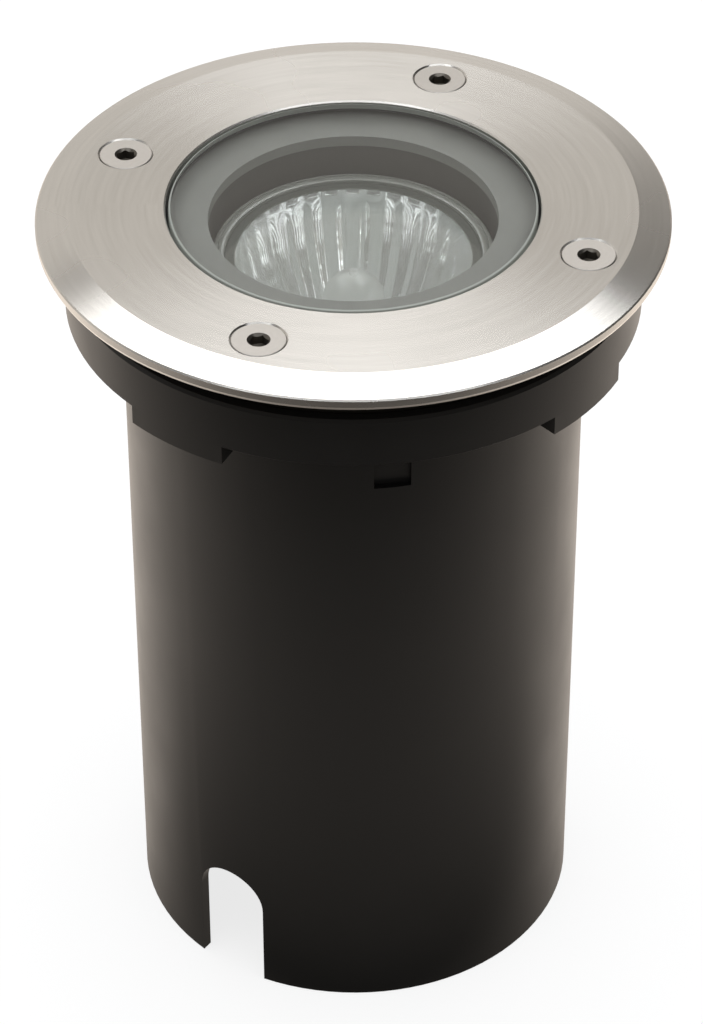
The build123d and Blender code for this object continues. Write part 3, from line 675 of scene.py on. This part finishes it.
def make_capsule():
    low, high = limits("lamp_capsule")
    radius = high.x
    dome = high.z - radius
    stem_top = low.z + CAPSULE_STEM

    def pinch(height):
        def ring(angle):
            wide = abs(math.cos(angle)) / PINCH_WIDTH
            thin = abs(math.sin(angle)) / PINCH_THICKNESS
            return (wide ** PINCH_POWER + thin ** PINCH_POWER) ** (-1 / PINCH_POWER), height
        return ring

    mesh = bmesh.new()
    outer = [(0.0, low.z), pinch(low.z), pinch(stem_top - PINCH_FADE),
             (radius - SHOULDER_INSET, stem_top + SHOULDER_INSET), (radius, stem_top + SHOULDER_TOP)]
    outer += dome_rings(radius, dome, TIP_RADIUS)
    outer += [(TIP_RADIUS * share, high.z + TIP_HEIGHT * rise) for share, rise in TIP_RINGS]
    lathe(mesh, outer, THREAD_STEPS)
    inner_radius = radius - CAPSULE_WALL
    inner = [(inner_radius * share, stem_top + rise) for share, rise in HOLLOW_RINGS]
    inner += dome_rings(inner_radius, dome, HOLLOW_TOP_RADIUS)
    lathe(mesh, list(reversed(inner)), THREAD_STEPS)
    finish_piece("capsule_bulb", mesh, [capsule_glass], "lamp", "lamp_capsule")


def make_filament():
    low, high = limits("lamp_filament")
    coil_radius = high.y - COIL_WIRE
    height = high.z - high.y
    steps = COIL_TURNS * COIL_TURN_STEPS
    span = 2 * (high.x - 2 * POST_WIRE)
    mesh = bmesh.new()
    coil = []
    for index in range(steps + 1):
        angle = math.tau * COIL_TURNS * index / steps
        coil.append((-span / 2 + span * index / steps, coil_radius * math.sin(angle),
                     height + coil_radius * math.cos(angle)))
    wire(mesh, coil, COIL_WIRE, COIL_SIDES)
    for side in (-1, 1):
        post_x = side * (high.x - POST_WIRE)
        wire(mesh, [(post_x, 0, low.z - POST_FOOT), (post_x, 0, low.z + POST_STRAIGHT),
                    (post_x, 0, height - POST_BEND), (post_x - side * POST_LEAN, 0, height + coil_radius)],
             POST_WIRE, POST_SIDES)
    finish_piece("coiled_filament", mesh, [tungsten], "lamp", "lamp_filament")


# Screws of the bezel
def make_bezel_screw(number):
    node = f"bezel_screw_{number}"
    low, high = limits(node)
    x, y = (low.x + high.x) / 2, (low.y + high.y) / 2
    head_radius = (high.x - low.x) / 2
    cone_bottom = high.z - (head_radius - SCREW_RADIUS)
    turn = math.atan2(y, x)
    across = hexagon_radius(SOCKET_WIDTH, turn)
    corner = SOCKET_WIDTH / math.sqrt(3)

    def lead_in(angle):
        return across(angle), high.z - SOCKET_LEAD - (corner - across(angle))

    def socket_floor(angle):
        return across(angle), high.z - SOCKET_DEPTH

    mesh = bmesh.new()
    lathe(mesh, [(0.0, low.z), (SCREW_ROOT, low.z)], THREAD_STEPS, x, y)
    thread(mesh, SCREW_RADIUS, SCREW_ROOT, SCREW_PITCH, low.z, cone_bottom - SCREW_EDGE, x, y)
    lathe(mesh, [
        (SCREW_ROOT, cone_bottom - SCREW_EDGE),
        (SCREW_RADIUS, cone_bottom),
        (head_radius - SCREW_EDGE / 2, high.z - 2 * SCREW_EDGE),
        (head_radius, high.z - SCREW_EDGE),
        (head_radius - SCREW_EDGE, high.z),
        (corner + SOCKET_LEAD, high.z),
    ], THREAD_STEPS, x, y)
    # The socket faces take the darker socket finish: painted shade of the recess, partly its oxide
    lathe(mesh, [
        (corner + SOCKET_LEAD, high.z),
        lead_in,
        socket_floor,
        (0.0, high.z - SOCKET_DEPTH - SOCKET_POINT),
    ], THREAD_STEPS, x, y, finish=1)
    head = turned_metal(f"screw_steel_{number}", SCREW_LIGHT, SCREW_DARK, SCREW_ROUGHNESS, 0.0,
                        centre=(x * MM, y * MM), grain=SCREW_GRAIN)
    dress(node, head)
    finish_piece(f"threaded_screw_{number}", mesh, [head, socket_oxide_and_shade], f"screw_{number}",
                 node)


# Cable gland
def make_gland():
    low, high = limits("cable_gland_body")
    y = (low.y + high.y) / 2
    nut_low, nut_high = limits("cable_gland_locknut")
    hex_top = limits("cable_gland_washer")[0].z
    hex_bottom = hex_top - GLAND_HEX_HEIGHT
    width = nut_high.y - nut_low.y
    crest = width / 2 - GLAND_HEX_WALL

    mesh = bmesh.new()
    lathe(mesh, [(GLAND_BORE, low.z), (GLAND_ROOT, low.z), (GLAND_ROOT, hex_bottom)], THREAD_STEPS, 0, y)
    hexagon = hexagon_rings(width, hex_bottom, hex_top)
    lathe(mesh, [(GLAND_ROOT, hex_bottom)] + hexagon + [(GLAND_ROOT, hex_top)], THREAD_STEPS, 0, y)
    thread(mesh, crest, GLAND_ROOT, GLAND_PITCH, hex_top, high.z, 0, y)
    lathe(mesh, [(GLAND_ROOT, high.z), (GLAND_BORE, high.z), (GLAND_BORE, low.z)], THREAD_STEPS, 0, y)
    finish_piece("threaded_gland", mesh, [nylon], "luminaire", "cable_gland_body")

    mesh = bmesh.new()
    lathe(mesh, [(crest, nut_low.z)] + hexagon_rings(width, nut_low.z, nut_high.z)
          + [(crest, nut_high.z), (crest, nut_low.z)], THREAD_STEPS, 0, y)
    finish_piece("gland_locknut", mesh, [nylon], "luminaire", "cable_gland_locknut")

    dome_low, dome_high = limits("cable_gland_nut")
    nose_top = dome_low.z + NUT_NOSE_HEIGHT
    nut_seat = nose_top + NUT_RIB_DEPTH
    nose = GLAND_BORE + GLAND_NOSE_WALL
    cage = GLAND_ROOT + NUT_CLEARANCE

    def nose_ring(share):
        def ring(angle):
            swing = math.sin(share * math.pi / 2)
            radius = nose + (width / 2 - nose) * swing
            rib = NUT_RIB_DEPTH * swing * (1 + math.cos(NUT_RIB_COUNT * angle)) / 2
            return radius - rib, dome_low.z + NUT_NOSE_HEIGHT * (1 - math.cos(share * math.pi / 2))
        return ring

    mesh = bmesh.new()
    rings = [(GLAND_BORE, dome_low.z)]
    rings += [nose_ring(index / NUT_NOSE_STEPS) for index in range(NUT_NOSE_STEPS + 1)]
    rings += [(width / 2, nut_seat)]
    rings += hexagon_rings(width, nut_seat, dome_high.z)[1:]
    rings += [(cage, dome_high.z), (cage, nut_seat), (GLAND_BORE, nose_top), (GLAND_BORE, dome_low.z)]
    lathe(mesh, rings, NUT_RIB_COUNT * NUT_RIB_STEPS, 0, y)
    finish_piece("domed_gland_nut", mesh, [nylon], "luminaire", "cable_gland_nut")


# Floor
def make_floor():
    half = FLOOR_SIZE / 2
    mesh = bpy.data.meshes.new("floor")
    corners = [(-half, -half, 0), (half, -half, 0), (half, half, 0), (-half, half, 0)]
    mesh.from_pydata(corners, [], [(0, 1, 2, 3)])
    floor = bpy.data.objects.new("floor", mesh)
    floor.location.z = -FLOOR_GAP
    bpy.context.scene.collection.objects.link(floor)

    # To the camera the floor is evenly bright; in reflections it glows with painted light, darker in front
    # and far off
    g = new_graph("pale_floor")
    path = g.node("LightPath")
    mirror = g.either(path.outputs["Is Glossy Ray"], path.outputs["Is Transmission Ray"])
    lit = g.node("BsdfDiffuse", {"Color": g.mix(mirror, grey(FLOOR_COLOUR), grey(0.0))}).outputs[0]
    place = g.node("SeparateXYZ", {0: g.place()})
    radius = g.node("VectorMath", {0: g.place()}, operation="LENGTH").outputs["Value"]
    depth = g.maths("POWER", g.between(place.outputs[1], *FLOOR_FRONT), FLOOR_POWER)
    ramp = g.between(depth, 0.0, 1.0, *FLOOR_MIRRORED_RANGE)
    # Painted shade: the reflected glow is darkened near the object's foot, in front of it
    contact_shade = g.either(g.between(radius, *FLOOR_CONTACT_SHADE), g.between(place.outputs[1], *FLOOR_BESIDE))
    ramp = g.maths("MULTIPLY", ramp, contact_shade)
    ramp = g.maths("MULTIPLY", ramp, g.between(radius, *FLOOR_FAR))
    mirrored = g.maths("MULTIPLY", mirror, ramp)
    seen = g.maths("MULTIPLY", path.outputs["Is Camera Ray"], FLOOR_GLOW)
    shown = g.node("Emission", {"Color": grey(1.0), "Strength": seen}).outputs[0]
    reflected = g.node("Emission", {"Color": FLOOR_MIRRORED, "Strength": mirrored}).outputs[0]
    glow = g.node("AddShader", {0: shown, 1: reflected}).outputs[0]
    mesh.materials.append(g.surface(g.node("AddShader", {0: lit, 1: glow}).outputs[0]))


# World
def make_world():
    g = Graph(bpy.data.worlds.new("studio"), "OutputWorld")
    direction = g.node("SeparateXYZ", {0: g.node("TexCoord").outputs["Generated"]})
    side, depth, up = direction.outputs
    height = g.maths("MAXIMUM", up, HORIZON)
    slope = g.maths("DIVIDE", depth, height)

    wall = g.mix(g.between(depth, *ROOM_EDGE), ROOM_COLOUR, WALL_COLOUR)
    flag = g.between(side, *FLAG_PLACE, 1.0, FLAG_SHADE)
    wall = g.mix(flag, grey(0.0), wall)
    strip = g.maths("MULTIPLY", g.between(slope, *STRIP_LOW), g.between(slope, *STRIP_HIGH, 1.0, 0.0))
    mirrored = g.mix(strip, wall, STRIP_COLOUR)

    across = g.maths("ABSOLUTE", g.maths("DIVIDE", g.maths("ADD", side, WINDOW_SHIFT), height))
    window = g.maths("MULTIPLY", g.between(slope, *WINDOW_LOW), g.between(slope, *WINDOW_HIGH, 1.0, 0.0))
    window = g.maths("MULTIPLY", window, g.between(across, *WINDOW_NEAR))
    window = g.maths("MULTIPLY", window, g.between(across, *WINDOW_FAR, 1.0, 0.0))
    path = g.node("LightPath")
    through = g.maths("MULTIPLY", window, path.outputs["Is Transmission Ray"])
    mirrored = g.mix(through, mirrored, WINDOW_COLOUR)

    seen = g.either(path.outputs["Is Glossy Ray"], path.outputs["Is Transmission Ray"])
    colour = g.mix(seen, grey(SKY_LIGHT), mirrored)
    colour = g.mix(path.outputs["Is Camera Ray"], colour, grey(1.0))
    bpy.context.scene.world = g.surface(g.node("Background", {"Color": colour, "Strength": 1.0}).outputs[0])


# Light
def make_panel():
    light = bpy.data.lights.new("panel", "AREA")
    light.shape = "RECTANGLE"
    light.size, light.size_y = PANEL_SIZE
    light.energy = PANEL_RADIANCE * math.pi * PANEL_SIZE[0] * PANEL_SIZE[1]
    light.color = PANEL_COLOUR
    panel = bpy.data.objects.new("panel", light)
    panel.location = (0, PANEL_CENTRE_Y, PANEL_HEIGHT)
    panel.visible_camera = False
    bpy.context.scene.collection.objects.link(panel)


# Camera
def make_camera():
    data = bpy.data.cameras.new("camera")
    data.lens = CAMERA_LENS
    data.sensor_width = SENSOR_WIDTH
    data.clip_start = NEAR_CLIP
    camera = bpy.data.objects.new("camera", data)
    bpy.context.scene.collection.objects.link(camera)
    tilt = Matrix.Rotation(math.radians(90 + CAMERA_PITCH), 4, "X")
    roll = Matrix.Rotation(math.radians(CAMERA_ROLL), 4, "Z")
    camera.matrix_world = Matrix.Translation(CAMERA_PLACE) @ tilt @ roll
    bpy.context.scene.camera = camera


make_front_glass()
make_reflector()
make_capsule()
make_filament()
for screw_number in range(1, SCREW_COUNT + 1):
    make_bezel_screw(screw_number)
make_gland()
make_floor()
make_world()
make_panel()
make_camera()
bpy.context.scene.view_settings.view_transform = "Standard"
